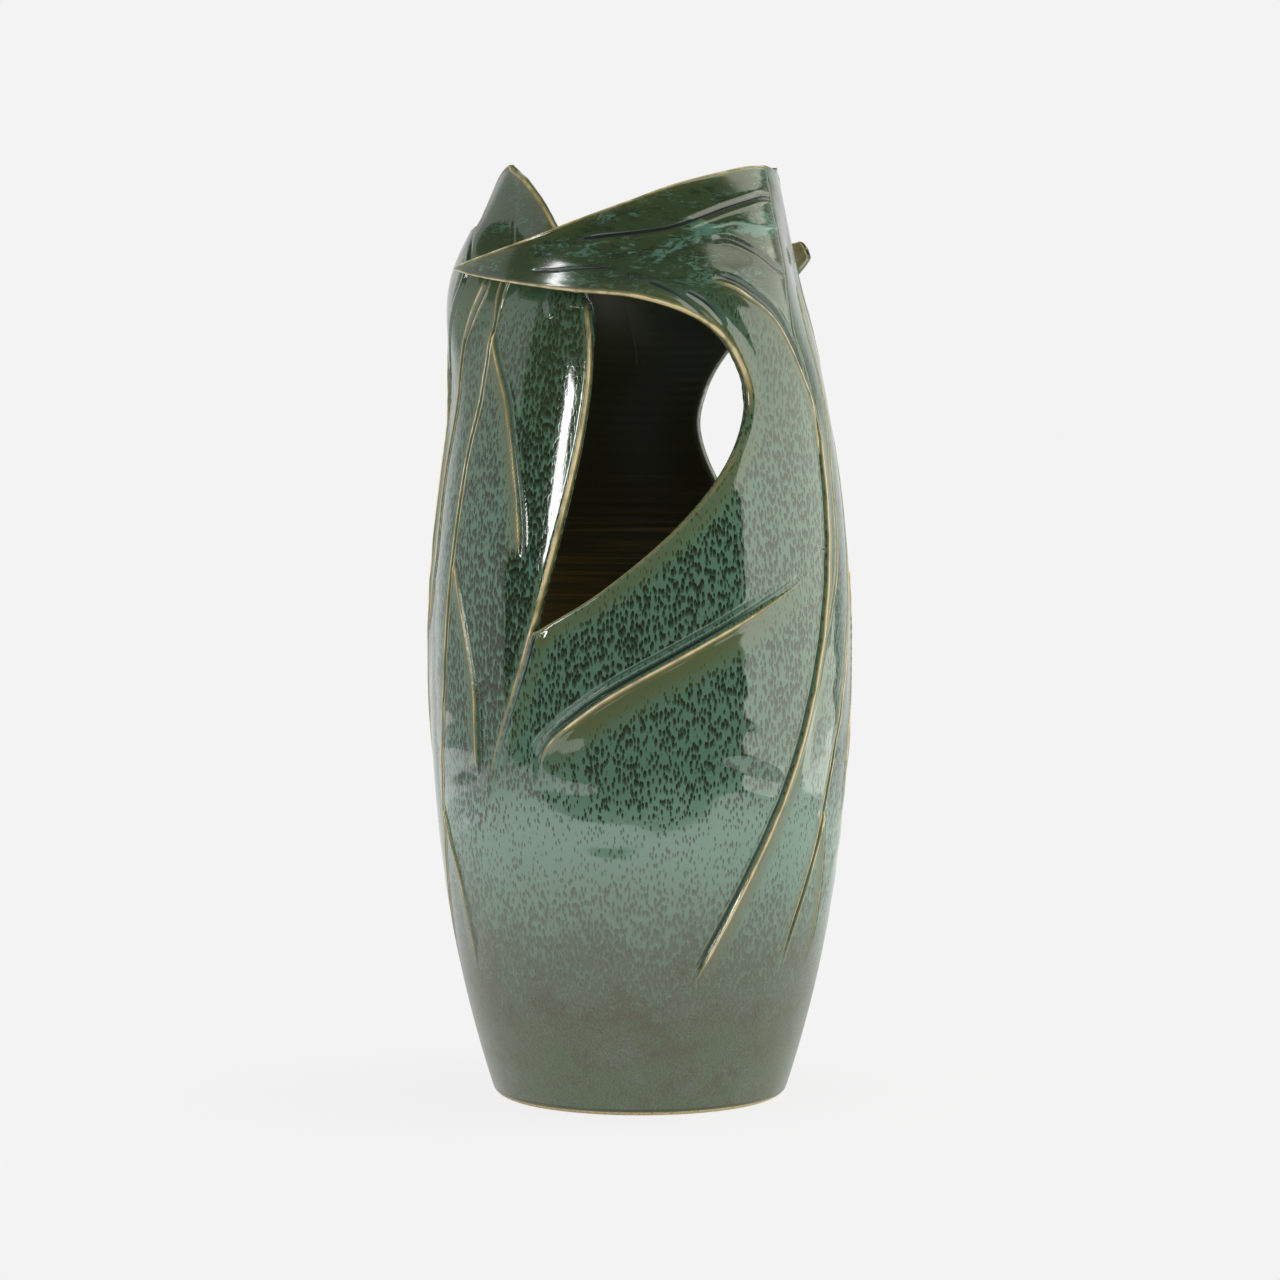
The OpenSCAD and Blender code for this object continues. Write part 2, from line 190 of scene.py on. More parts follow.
def panel(name, turn, wide, low, high, radiance, lean=0.0, tint=(1, 1, 1)):
    """A flat lamp whose middle stands at a turn round the vase and faces its axis. Its top leans aside
    by an angle, and its power is its brightness times pi times its area."""
    angle = math.radians(turn)
    middle = (panel_far * math.sin(angle), -panel_far * math.cos(angle), (low + high) / 2)
    light = bpy.data.lights.new(name, "AREA")
    light.shape = "RECTANGLE"
    light.size = wide * mm
    light.size_y = (high - low) * mm
    light.energy = radiance * math.pi * light.size * light.size_y
    light.color = tint
    lamp = bpy.data.objects.new(name, light)
    place = Matrix.Translation([size * mm for size in middle])
    facing = Matrix.Rotation(angle, 4, "Z") @ Matrix.Rotation(math.pi / 2, 4, "X")
    lamp.matrix_world = place @ facing @ Matrix.Rotation(math.radians(-lean), 4, "Z")
    scene.collection.objects.link(lamp)


panel("soft_box", 92, 1290, 0, 800, 1.68, tint=(1, 1, 0.9))
panel("upper_box", 85, 1590, 800, 1300, 1.5, tint=(1, 1, 0.86))
panel("left_panel", -110, 1260, 0, 1100, 0.45)
panel("bright_strip", -45.5, 74, 250, 690, 13.0, lean=17)


# ---- The bare foot ring ----
# The trimmed foot of the thrown base. Its clay is left bare so that it doesn't stick to the kiln
# shelf, and the glaze stops in a thin line just above the table. Its inner corner is rounded off.
foot_r = 60
belly_r = 87.4
belly_h = 188
belly_power = 2.3
foot_edge_r = 3.5
foot_ring_w = 12
foot_ring_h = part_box("foot_ring")[1].z / mm
foot_flat_r = foot_r - foot_edge_r - foot_ring_w
bare_band = 1.5
steps_round = 360


def lower_r(z):
    """The foot's radius, and the rest up to the belly by 1 less the unclimbed share to a power."""
    unclimbed = np.clip(1 - z / belly_h, 0, 1)
    r = foot_r + (belly_r - foot_r) * (1 - unclimbed ** belly_power)
    drop = np.clip(1 - z / foot_edge_r, 0, 1)
    return r - foot_edge_r * (1 - np.sqrt(1 - drop**2))


def wall_of(name, points, faces, masks=None, normals=None):
    """A mesh object from arrays: points in mm, lists of faces as corner numbers, for each mask a number
    at every point, and normals. A normal of no length leaves that point's own."""
    mesh = bpy.data.meshes.new(name)
    mesh.vertices.add(len(points))
    mesh.vertices.foreach_set("co", (points * mm).astype(np.float32).ravel())
    corners = np.concatenate([np.asarray(f, int).ravel() for f in faces])
    sizes = np.concatenate([np.full(len(f), f.shape[1]) for f in faces])
    mesh.loops.add(len(corners))
    mesh.loops.foreach_set("vertex_index", corners)
    mesh.polygons.add(len(sizes))
    mesh.polygons.foreach_set("loop_start", np.concatenate([[0], np.cumsum(sizes)[:-1]]))
    mesh.polygons.foreach_set("use_smooth", np.ones(len(sizes), bool))
    mesh.update(calc_edges=True)
    for mask, values in (masks or {}).items():
        flat = values.astype(np.float32).ravel()
        mesh.attributes.new(mask, "FLOAT", "POINT").data.foreach_set("value", flat)
    if normals is not None:
        mesh.normals_split_custom_set_from_vertices(normals.astype(np.float32))
    piece = bpy.data.objects.new(name, mesh)
    scene.collection.objects.link(piece)
    return piece


def turned(outline):
    """An outline of (radius, height) carried round the axis: points and quads, closed into a ring."""
    angle = np.radians(np.arange(steps_round) * 360 / steps_round)[None, :]
    r, z = outline[:, :1], outline[:, 1:] + 0 * angle
    points = np.stack([r * np.sin(angle), -r * np.cos(angle), z], axis=-1).reshape(-1, 3)
    here = np.arange(len(outline) * steps_round).reshape(len(outline), steps_round)
    above = np.roll(here, -1, axis=0)
    quads = np.stack([here, np.roll(here, -1, 1), np.roll(above, -1, 1), above], axis=-1)
    return points, quads.reshape(-1, 4)


outer_edge_h = np.linspace(0.0, foot_ring_h, 13)
ring_outside = np.stack([lower_r(outer_edge_h), outer_edge_h], axis=1)
ring_inside = np.array([[0, foot_ring_h], [0.2, 1.2], [1.2, 0.2], [2, 0]]) + [foot_flat_r, 0]
ring_points, ring_quads = turned(np.concatenate([ring_outside, ring_inside]))


def look(material_name, build):
    """A new material whose nodes are laid by build, which gives its surface shader."""
    material = bpy.data.materials.new(material_name)
    material.use_nodes = True
    tree = material.node_tree
    tree.nodes.clear()
    node(tree, "OutputMaterial", {"Surface": build(tree).outputs[0]})
    return material


def ramp(tree, value, stops, bend="EASE"):
    """A colour, or a plain number, that follows a value through stops of (value from 0 to 1, screen
    colour or number)."""
    made = node(tree, "ValToRGB", {"Fac": value})
    band = made.color_ramp
    band.interpolation = bend
    for number, (at, ink) in enumerate(stops):
        stop = band.elements[number] if number < 2 else band.elements.new(at)
        stop.position = at
        stop.color = linear(*ink) if isinstance(ink, tuple) else (ink, ink, ink, 1)
    return made.outputs[0]


def blend_colours(tree, share, first, second):
    """The first colour where share is 0 and the second where it is 1."""
    return node(tree, "Mix", {0: share, 6: first, 7: second}, data_type="RGBA").outputs[2]


def bare_clay(tree):
    """Cream stoneware, speckled with iron and rough to the touch, up to where the glaze stops."""
    place = node(tree, "TexCoord").outputs["Object"]
    grain = node(tree, "TexNoise", {"Vector": place, "Scale": 900.0, "Detail": 4.0}).outputs["Fac"]
    clay = ramp(tree, grain, [(0.32, (206, 180, 128)), (0.55, (244, 226, 180))], "LINEAR")
    rise = node(tree, "Bump", {"Height": grain, "Strength": 0.4, "Distance": 0.0002})
    height = node(tree, "SeparateXYZ", {0: place}).outputs["Z"]
    covered = rising(tree, height, bare_band * mm, 1.3 * bare_band * mm)
    colour = blend_colours(tree, covered, clay, linear(84, 92, 64))
    gloss = rising(tree, covered, 0.0, 1.0, 0.75, 0.3)
    return node(tree, "BsdfPrincipled", {"Base Color": colour, "Roughness": gloss, "Normal": rise.outputs[0]})


foot_ring = wall_of("bare_foot", ring_points, [ring_quads])
foot_ring.data.materials.append(look("bare_clay", bare_clay))
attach(foot_ring, "root")
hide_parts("foot_ring")


# ---- The thrown base ----
# A bowl of stoneware clay thrown on the wheel, with the potter's finger rings inside. The glaze over
# it is thin low down: satin and mottled grey-brown, under a fine net of dark specks.
wall_t = 6.2
floor_t = 8
base_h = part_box("thrown_base")[1].z / mm
base_rows = 60
throw_pitch = 4.3
throw_depth = 0.14
cove_bend = 8
hub_r = 0.4
under_inset = 4
floor_steps = 24


def thrown_rings(z):
    """How far the potter's fingers left ridges inside: a wave of the height, whose start and depth sway."""
    wave = np.sin(2 * np.pi * z / throw_pitch + 1.3 * np.sin(z / 17))
    return throw_depth * wave * (1 + 0.8 * np.sin(z / 9)) / 2


outer_z = np.linspace(foot_ring_h, base_h, base_rows)
inner_z = np.linspace(base_h, foot_ring_h + floor_t + wall_t, base_rows)
bend = np.linspace(0, np.pi / 2, cove_bend + 1)[1:]
cove_r = lower_r(inner_z[-1]) - 2 * wall_t
outside = np.stack([lower_r(outer_z), outer_z], axis=1)
inside = np.stack([lower_r(inner_z) - wall_t - thrown_rings(inner_z), inner_z], axis=1)
cove = np.stack([cove_r + wall_t * np.cos(bend), inner_z[-1] - wall_t * np.sin(bend)], axis=1)
floor_r = np.linspace(cove_r, hub_r, floor_steps)[1:]
floor_in = np.stack([floor_r, 0 * floor_r + foot_ring_h + floor_t], axis=1)
under = np.array([[hub_r, foot_ring_h], [foot_flat_r, foot_ring_h], [foot_r - under_inset, foot_ring_h]])
base_outline = np.concatenate([outside, inside, cove, floor_in, under])
base_points, base_quads = turned(base_outline)

# The quads between the floor's last ring and the first one under it give way to a face over each.
floor_hub = (len(base_outline) - len(under) - 1) * steps_round + np.arange(steps_round)
under_hub = floor_hub + steps_round
base_faces = [np.delete(base_quads, floor_hub, axis=0), floor_hub[None], under_hub[None, ::-1]]
is_inner = np.zeros(len(base_outline))
is_inner[base_rows:-len(under)] = 1


# The glaze reads six masks: ridge where a line stands up and it thins to cream, warm where it turns
# amber, pool where it gathers in a groove, inside, crown up on the collars, and dense where it is thick.
# The ridge mask also carries painted light: cream on the inner faces of the collars' tips, which lie in
# shade.
mask_names = ("ridge", "warm", "pool", "inside", "crown", "dense")


def masks_for(count, **known):
    """The six masks that the glaze reads, all 0 but those given."""
    return {name: known.get(name, np.zeros(count)) for name in mask_names}


base_masks = masks_for(len(base_points), inside=np.repeat(is_inner, steps_round))


def group_of(name, inputs, outputs, lay):
    """A shader node group with named number inputs and outputs, laid out by lay(tree, its inputs)."""
    group = bpy.data.node_groups.new(name, "ShaderNodeTree")
    for label, value in inputs.items():
        group.interface.new_socket(label, in_out="INPUT", socket_type="NodeSocketFloat").default_value = value
    for label, kind in outputs.items():
        group.interface.new_socket(label, in_out="OUTPUT", socket_type="NodeSocket" + kind)
    given = group.nodes.new("NodeGroupInput")
    results = lay(group, given.outputs)
    end = group.nodes.new("NodeGroupOutput")
    for label, result in results.items():
        group.links.new(result, end.inputs[label])
    return group


def stretched(tree, across, along, shift=0.0):
    """Object coordinates, counted in cells of a width across and a length along the height."""
    place = node(tree, "TexCoord").outputs["Object"]
    cells = (1 / (across * mm), 1 / (across * mm), 1 / (along * mm))
    moved = {"Vector": place, "Scale": cells, "Location": (shift, shift, shift)}
    return node(tree, "Mapping", moved).outputs[0]


def noise(tree, across, along, shift=0.0, detail=2.0, rough=0.5, twist=0.0):
    """Clouds in cells of a width across and a length along the height, from 0 to 1."""
    cloud = {"Vector": stretched(tree, across, along, shift), "Scale": 1.0, "Detail": detail,
             "Roughness": rough, "Distortion": twist}
    return node(tree, "TexNoise", cloud).outputs["Fac"]


def over(tree, value, low, high, colour, top_colour, share=1.0):
    """A colour laid over another where a value rises from low to high, up to a share."""
    laid = rising(tree, value, low, high, 0.0, share, "SMOOTHSTEP")
    return blend_colours(tree, laid, colour, top_colour)


drop_wide, drop_long = 1.25, 3.4
drop_sway = 0.7
drop_uneven = 0.22


def spots(tree, given):
    """Dark drops drawn out downwards. A drop covers what lies nearer to its cell's middle than its
    size, which is the amount and a slow cloud. It is darkest at its head, or all over where the
    amount is high."""
    sway = node(tree, "TexNoise", {"Vector": stretched(tree, 5.0, 9.0), "Scale": 1.0, "Detail": 1.0})
    aside = node(tree, "VectorMath", {0: sway.outputs["Color"], 3: drop_sway}, operation="SCALE").outputs[0]
    even = stretched(tree, drop_wide, drop_long)
    bent = node(tree, "VectorMath", {0: even, 1: aside}, operation="ADD").outputs[0]
    cell = node(tree, "TexVoronoi", {"Vector": bent, "Scale": 1.0, "Randomness": 0.9}).outputs
    uneven = less(tree, noise(tree, 9.0, 16.0, shift=3.7, detail=1.0), 0.5)
    size = plus(tree, given["Amount"], times(tree, uneven, drop_uneven))
    dark = rising(tree, less(tree, size, cell["Distance"]), -0.03, 0.13, bend="SMOOTHSTEP")
    from_middle = node(tree, "VectorMath", {0: bent, 1: cell["Position"]}, operation="SUBTRACT").outputs[0]
    above = node(tree, "SeparateXYZ", {0: from_middle}).outputs["Z"]
    head = rising(tree, above, -0.4, 0.2, 0.6, 1.0)
    filled = calculate(tree, "MAXIMUM", head, less(tree, given["Amount"], 0.1))
    return {"Spot": times(tree, dark, filled)}


spot_group = group_of("glaze_spots", {"Amount": 0.5}, {"Spot": "Float"}, spots)


def drops_on_ground(tree, level, mask):
    """The ground's colour up the height with dark drops on it, which grow where the glaze is thick and
    shrink beside the lines. Gives the colour and where the drops are."""
    ground = ramp(tree, level, [(0.0, (72, 98, 50)), (0.09, (80, 102, 64)), (0.14, (94, 116, 96)),
                                (0.22, (108, 138, 118)), (0.30, (116, 148, 130)), (0.36, (88, 122, 102)),
                                (0.60, (86, 120, 98)), (0.80, (76, 104, 80)), (0.92, (58, 76, 50))])
    ink = ramp(tree, level, [(0.0, (74, 96, 50)), (0.13, (76, 88, 58)), (0.20, (80, 90, 70)),
                             (0.27, (72, 86, 66)), (0.32, (38, 46, 24)), (0.60, (28, 38, 16)),
                             (0.85, (46, 56, 32))])
    amount = ramp(tree, level, [(0.0, 1.0), (0.06, 0.9), (0.12, 0.72), (0.17, 0.64), (0.22, 0.52),
                                (0.26, 0.38), (0.30, 0.35), (0.35, 0.52), (0.45, 0.58), (0.79, 0.56),
                                (0.87, 0.25)])
    amount = plus(tree, amount, times(tree, mask["dense"], 0.14))
    beside_lines = times(tree, plus(tree, mask["warm"], mask["pool"]), 0.75)
    kept = less(tree, 1.0, node(tree, "Clamp", {0: beside_lines}).outputs[0])
    spot = node(tree, "Group", {"Amount": times(tree, amount, kept)}, node_tree=spot_group).outputs[0]
    return blend_colours(tree, spot, ground, ink), spot


def foot_mottled(tree, colour, height):
    """The thin glaze low down: grey clouds, then brown ones broken by a fine grain, then a net of
    specks, all gone above a quarter of the height."""
    low_down = rising(tree, height, 0.24, 0.10)
    haze = noise(tree, 20.0, 15.0, shift=2.6, detail=6.0, rough=0.7)
    colour = over(tree, haze, 0.46, 0.64, colour, linear(94, 106, 92), times(tree, low_down, 0.5))
    grain = times(tree, noise(tree, 0.7, 1.1, shift=4.4), 0.5)
    rust = noise(tree, 17.0, 12.0, shift=8.1, detail=4.0, rough=0.7)
    colour = over(tree, plus(tree, rust, grain), 0.74, 0.92, colour, linear(70, 68, 22), low_down)
    speck = noise(tree, 0.55, 1.2, shift=7.4)
    return over(tree, speck, 0.46, 0.60, colour, linear(44, 58, 26), times(tree, low_down, 0.6))


def crown_run(tree, colour, mask):
    """Olive over the collars, with sooty streaks, and teal runs where a feathered cloud, a slow one and
    the thick glaze add up."""
    sooty = noise(tree, 14.0, 3.0, shift=3.3, detail=4.0, rough=0.6, twist=1.2)
    crown_ink = over(tree, sooty, 0.48, 0.62, linear(52, 70, 40), linear(34, 46, 28), 0.8)
    feather = noise(tree, 6.0, 2.2, shift=5.0, detail=5.0, rough=0.65, twist=1.6)
    patch = times(tree, noise(tree, 26.0, 14.0, shift=1.4), 0.7)
    thick = plus(tree, patch, times(tree, mask["dense"], 0.45))
    crown_ink = over(tree, plus(tree, feather, thick), 0.89, 1.06, crown_ink, linear(86, 126, 110))
    return blend_colours(tree, times(tree, mask["crown"], 0.9), colour, crown_ink)


def lines_broken(tree, colour, mask):
    """Amber beside the lines, grey and then dark pools in their grooves, and cream on their ridges,
    where a cloud breaks the glaze unevenly. The same cream is painted light on the collar tips' inner
    faces, which lie in shade."""
    warm = node(tree, "Clamp", {0: times(tree, mask["warm"], 0.75)}).outputs[0]
    colour = blend_colours(tree, warm, colour, linear(92, 93, 47))
    grey_pool = blend_colours(tree, mask["crown"], linear(72, 102, 88), linear(70, 78, 72))
    colour = over(tree, mask["pool"], 0.1, 0.5, colour, grey_pool, 0.7)
    colour = over(tree, mask["pool"], 0.5, 0.9, colour, linear(26, 36, 28), 0.9)
    cloud = noise(tree, 6.0, 11.0, shift=9.3, detail=3.0)
    # The ridge mask here also holds painted light: cream on the collar tips' shaded inner faces.
    cream_and_painted_light = times(tree, mask["ridge"], rising(tree, cloud, 0.32, 0.62, 0.68, 1.1))
    colour = over(tree, cream_and_painted_light, 0.08, 0.5, colour, linear(136, 128, 80))
    return over(tree, cream_and_painted_light, 0.5, 0.95, colour, linear(236, 216, 166))


def inside_glaze(tree, height):
    """Amber low down and dark olive above, by the height and long flat streaks."""
    cloud = noise(tree, 90.0, 1.6, shift=6.2, detail=3.0)
    streak = times(tree, less(tree, cloud, 0.5), 0.5)
    return ramp(tree, plus(tree, height, streak), [(0.36, (190, 156, 70)), (0.50, (112, 96, 44)),
                                                   (0.64, (52, 54, 26)), (0.9, (38, 46, 24))])


def glaze(tree, given):
    """The glaze's colour, roughness and relief. Its layers lie on each other: ground and drops, the
    foot's mottling, the crown's runs, the lines, and the inside."""
    mask = {name: node(tree, "Attribute", attribute_name=name).outputs["Fac"] for name in mask_names}
    place = node(tree, "TexCoord").outputs["Object"]
    height = calculate(tree, "DIVIDE", node(tree, "SeparateXYZ", {0: place}).outputs["Z"], drawn_h * mm)
    ragged = less(tree, noise(tree, 22.0, 34.0, detail=3.0), 0.5)
    level = plus(tree, height, times(tree, ragged, 0.06))
    colour, spot = drops_on_ground(tree, level, mask)
    colour = foot_mottled(tree, colour, height)
    colour = crown_run(tree, colour, mask)
    colour = lines_broken(tree, colour, mask)
    colour = blend_colours(tree, mask["inside"], colour, inside_glaze(tree, height))
    satin = rising(tree, height, 0.13, 0.26, 0.28, 0.06)
    satin = calculate(tree, "MAXIMUM", satin, times(tree, mask["inside"], 0.3))
    satin = plus(tree, satin, times(tree, mask["crown"], 0.10))
    rise = plus(tree, times(tree, spot, -0.06), times(tree, noise(tree, 5.0, 9.0), 0.08))
    return {"Colour": colour, "Roughness": satin, "Height": rise}


glaze_puts_out = {"Colour": "Color", "Roughness": "Float", "Height": "Float"}
glaze_group = group_of("stoneware_glaze", {}, glaze_puts_out, glaze)


def glazed(tree):
    """A glassy stoneware glaze: the group's colour and relief under a high gloss."""
    coat = node(tree, "Group", node_tree=glaze_group)
    rise = node(tree, "Bump", {"Height": coat.outputs["Height"], "Strength": 0.3, "Distance": 0.0003})
    return node(tree, "BsdfPrincipled", {"Base Color": coat.outputs["Colour"], "IOR": 1.9,
                                         "Roughness": coat.outputs["Roughness"],
                                         "Normal": rise.outputs[0]})


glazes = {}


def finish_piece(piece, node_name, slot):
    """Glazes a piece and hands it to the frame: it rides on the one body and stands for its CAD node."""
    if slot not in glazes:
        glazes[slot] = look(slot + "_gloss", glazed)
    piece.data.materials.append(glazes[slot])
    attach(piece, "root")
    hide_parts(node_name)


# Outside, each normal faces away from the axis, turned up by the wall's slope at its height.
slope_h = np.linspace(foot_ring_h, base_h + 1, base_rows + 1)
base_slope = np.gradient(lower_r(slope_h), slope_h)[:base_rows]
round_turn = np.radians(np.arange(steps_round) * 360 / steps_round)
away = np.stack([np.sin(round_turn), -np.cos(round_turn), 0 * round_turn], axis=-1)
tilted = away[None] - base_slope[:, None, None] * np.array([0, 0, 1])
tilted = tilted / np.linalg.norm(tilted, axis=-1, keepdims=True)
base_normals = np.zeros((len(base_points), 3))
base_normals[:base_rows * steps_round] = tilted.reshape(-1, 3)
thrown_base = wall_of("thrown_bowl", base_points, base_faces, masks=base_masks, normals=base_normals)
finish_piece(thrown_base, "thrown_base", "glaze_low")


# ---- The three upright leaves ----
# Tall blades of slab clay, luted edge to edge on the bowl. Each has a double midrib and side veins
# pressed in with a tool, a raised left edge along its stem and a rolled right edge beside its mouth.

# The wall's rings at the belly, the shoulder, the neck and the rim: (height, radius, slope).
wall_rings = [(belly_h, belly_r, 0), (300, 75.6, -0.2), (336, 67, -0.25), (drawn_h, 57, -0.22)]
stem_at = (-79, 61, 188)
edge_at = (0, 122, 242)
edge_spread = (0, 34, 4)
spread_from, spread_full = 120, 280
seam_sway = (25, 0, 6)
sway_h, sway_fade = 337, 16
leaf_tip_share = (0.19, 0.28, 0.15)
leaf_tip_h = [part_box(f"upright_leaf_{n + 1}")[1].z / mm for n in range(3)]
raised_from, raised_to, pressed_from = 50, 290, 280
rolled_from, rolled_to, rolled_fade = (98, 54, 54), 324, (0.45, 0.5, 0.5)
hand_pitch, hand_depth = 17, 0.11
leaf_thin = 2.6
thin_from, thin_full = 312, 378
tip_pinch = 0.75
rib_margin = 0.15
half_columns = 96
blade_rows, point_rows = 310, 34
point_h, point_crowding = 10, 1.6
close_h, clear_h = 8, 4
least_width = 0.015
collar_top_h = (358, 381, 373)
swell = 12.4
swell_h = 338
swell_fade_low, swell_fade_high = 24.5, 21.5
swell_from = (-26, -22, -22)
swell_full = (6, 18, 18)
corner_h = 191
tail_h = 105
free_h = 321
stem_lean = [[40, -50], [60, -43], [93, -31], [133, -17.8], [172, -8.4], [204, -3], [240, 0.6],
             [282, 0.8], [298, -3.4], [313, -8.8], [345, -8.8], [368, -4], [384, 1]]
edge_lean = [[40, -62], [60, -59], [108, -47.8], [142, -40.6], [174, -32], [204, -25.8],
             [254, -17.6], [285, -14.6], [305, -14.7], [321, -16.5]]
leaf_narrow = [[300, 1], [321, 1], [351, 0.735], [366, 0.6], [376, 0.43], [381, 0.28], [384, 0.2]]
midrib = [[50, 0.68], [75, 0.63], [104, 0.6], [127, 0.535], [159, 0.456], [190, 0.387], [225, 0.346],
          [260, 0.342], [285, 0.39], [310, 0.42], [328, 0.33], [346, 0.337], [372, 0.39], [384, 0.42]]


def ease(start, end, x):
    """0 before start, 1 after end, and three squares less two cubes of the way between them."""
    t = np.clip((x - start) / (end - start), 0, 1)
    return t * t * (3 - 2 * t)


def hermite(p, q, m, n, t):
    """The cubic from p to q that leaves at slope m and arrives at slope n, at share t of its way."""
    return p * (2 * t**3 - 3 * t**2 + 1) + q * (3 * t**2 - 2 * t**3) \
        + m * (t**3 - 2 * t**2 + t) + n * (t**3 - t**2)


def through(x, points):
    """The smooth curve through points that rise in x, each passed at the slope between its neighbours."""
    xs, ys = np.array(points, float).T
    slopes = np.gradient(ys, xs)
    slopes[1:-1] = (ys[2:] - ys[:-2]) / (xs[2:] - xs[:-2])
    i = np.clip(np.searchsorted(xs, x, "right") - 1, 0, len(xs) - 2)
    w = xs[i + 1] - xs[i]
    return hermite(ys[i], ys[i + 1], slopes[i] * w, slopes[i + 1] * w, np.clip((x - xs[i]) / w, 0, 1))


def wall_r(z):
    """The foot's curve up to the belly, then a cubic from each of the wall's rings to the next."""
    r = lower_r(z)
    for (low, low_r, low_slope), (high, high_r, high_slope) in zip(wall_rings, wall_rings[1:]):
        t = np.clip((z - low) / (high - low), 0, 1)
        cubic = hermite(low_r, high_r, low_slope * (high - low), high_slope * (high - low), t)
        r = np.where(z < low, r, cubic)
    return r


def bell(x, peak, fade):
    """1 at the peak, falling away on both sides by the power of the squared distance."""
    return np.exp(-((x - peak) / fade) ** 2 / 2)


def stem_place(j):
    """Where stem j stands. The fourth is the first again, a full turn further round."""
    return stem_at[j % 3] + (360 if j > 2 else 0)


def stem_turn(j, z):
    """The stem's place and its lean at that height, plus a bell of sway at the neck."""
    return stem_place(j) + through(z, stem_lean) + seam_sway[j % 3] * bell(z, sway_h, sway_fade)


def edge_turn(i, z):
    """The free edge's lean at that height, spread further beside its mouth."""
    h = np.minimum(z, free_h)
    return edge_at[i] + through(h, edge_lean) + edge_spread[i] * ease(spread_from, spread_full, h)


def swell_at(j, back, z):
    """A bell round the collar's height, rising from nothing to full as the turn goes back from the stem."""
    fade = np.where(z < swell_h, swell_fade_low, swell_fade_high)
    return swell * ease(swell_from[j % 3], swell_full[j % 3], back) * bell(z, swell_h, fade)


def thumbed(turn, z):
    """The faint waves that hands leave in a slab: a wave up the height whose start and size sway round,
    deepest below the mouths and faint above their corners."""
    a = np.radians(turn)
    wave = np.sin(2 * np.pi * z / hand_pitch + 2 * np.sin(5 * a + z / 47))
    size = (1 + np.sin(8 * a + z / 31 - 0.57)) ** 2 / 4
    deep = hand_depth + 0.08 * bell(z, 147, 20) - 0.06 * ease(200, 260, z)
    return deep * size * wave * ease(base_h, base_h + 40, z)


def at_knots(points, knots):
    """A smooth path through free points, read at counts of points passed: cubics whose slopes join each
    point's neighbours."""
    p = np.array(points, float)
    i = np.clip(np.floor(knots).astype(int), 0, len(p) - 2)
    slopes = np.gradient(p, axis=0)
    return hermite(p[i], p[i + 1], slopes[i], slopes[i + 1], (knots - i)[:, None])


def smooth_path(points, steps):
    """The same path at even steps from its first point to its last."""
    return at_knots(points, np.linspace(0, len(points) - 1, steps))


# Each kind of line is a row of soft waves across it: (place, half width, lift, ridge, warm, pool,
# dense), less the zeros at its end, with the place in mm from the line towards its bank.
line_kinds = {
    "stem": [(0.7, 0.65, 1.0, 1.0), (2.4, 1.6, 0.5, 0.22, 0.5), (4.6, 2.6, 0.2, 0, 0.6),
             (-1.2, 0.7, -0.8, 0, 0, 0.9), (-2.7, 0.5, 0.3, 0.3)],
    "seam": [(0, 0.6, -0.8, 0, 0, 0.9), (-1.6, 0.6, 0.3, 0.25), (3.0, 2.0, 0, 0, 0.3)],
    "edge": [(1.0, 0.8, 1.1, 1.0), (3.0, 0.9, 0, 0, 0.3, 0.3), (-0.9, 0.6, -0.9, 0, 0, 1.0),
             (-2.4, 0.5, 0.3, 0.1), (-5.5, 2.6, 0.2, 0, 0.5)],
    "fold": [(0.6, 0.6, 1.1, 0.95), (1.8, 1.4, 0.5, 0.28, 0.5), (4.4, 3.8, 0.5, 0, 0.85),
             (9.0, 3.8, 0.1, 0, 0.4), (-1.4, 0.8, -1.1, 0, 0, 1.0), (-3.4, 1.0, 0.6, 0, 0, 0.35),
             (-4.9, 0.5, -0.3, 0, 0, 0.7)],
    "curl": [(0.6, 0.6, 0.9, 0.8), (2.2, 2.0, 0.4, 0.15, 0.5), (-1.8, 1.2, -0.9, 0, 0, 0.85),
             (-4.0, 1.0, 0.4, 0.1, 0, 0.1)],
    "double": [(-1.3, 0.5, 0.4, 0.85), (1.3, 0.5, 0.4, 0.85), (0, 0.7, -0.7, 0, 0, 0.9),
             (-3.0, 1.6, 0, 0, 0.4)],
    "vein": [(0.6, 0.5, 0.8, 0.85), (1.8, 1.2, 0.3, 0.2, 0.4), (3.6, 2.2, 0.2, 0, 0.6),
             (-0.9, 0.6, -0.6, 0, 0, 0.9), (-2.6, 0.5, 0.3, 0.25)],
    "lip": [(0.9, 0.9, 0.6, 1.0), (3.4, 1.7, 0.1, 0.15, 0.5), (7.0, 2.2, -0.4, 0, 0, 0.35)],
    "thin_lip": [(0.4, 0.5, 0.2, 0.7), (1.6, 0.7, 0, 0, 0, 0.5)],
    "low_lip": [(0.7, 0.8, 0.6, 0.45), (4.0, 3.4, 0.2, 0, 0.7)],
    "rim": [(0.5, 0.7, 0.3, 0.75), (2.2, 1.8, 0, 0.08, 0.4)],
    "groove": [(0, 1.0, -1.0, 0, 0, 1.0), (2.2, 0.8, 0.3, 0.12, 0.2), (-2.1, 0.8, 0.2, 0.1, 0, 0.1)],
    "scratch": [(0, 0.5, -0.5, 0, 0, 1.0)],
    "drip": [(0, 1.7, 0.5, 0, 0, 0.42), (0, 0.6, 0.2, 0, 0, -0.2)],
    "run": [(0, 0.6, 0.3, 0.16, 0, 0, 0.6), (2.6, 2.6, 0.1, 0, 0, 0, 0.45)],
}
line_reach = 16
end_fade = 1.5
least_wall_r = 60
search_step = 8
lip_points_round = 9
inner_columns = 36
most_round = 0.45
tongue = 0.5
ridge_from, ridge_gone, inside_from, inside_full = 0.25, 0.6, 0.55, 0.85
# How much cream the inner face of each collar's tip gets: painted light, lighter than its pale glaze alone,
# since that face lies in shade.
painted_lit_cream = 1.2


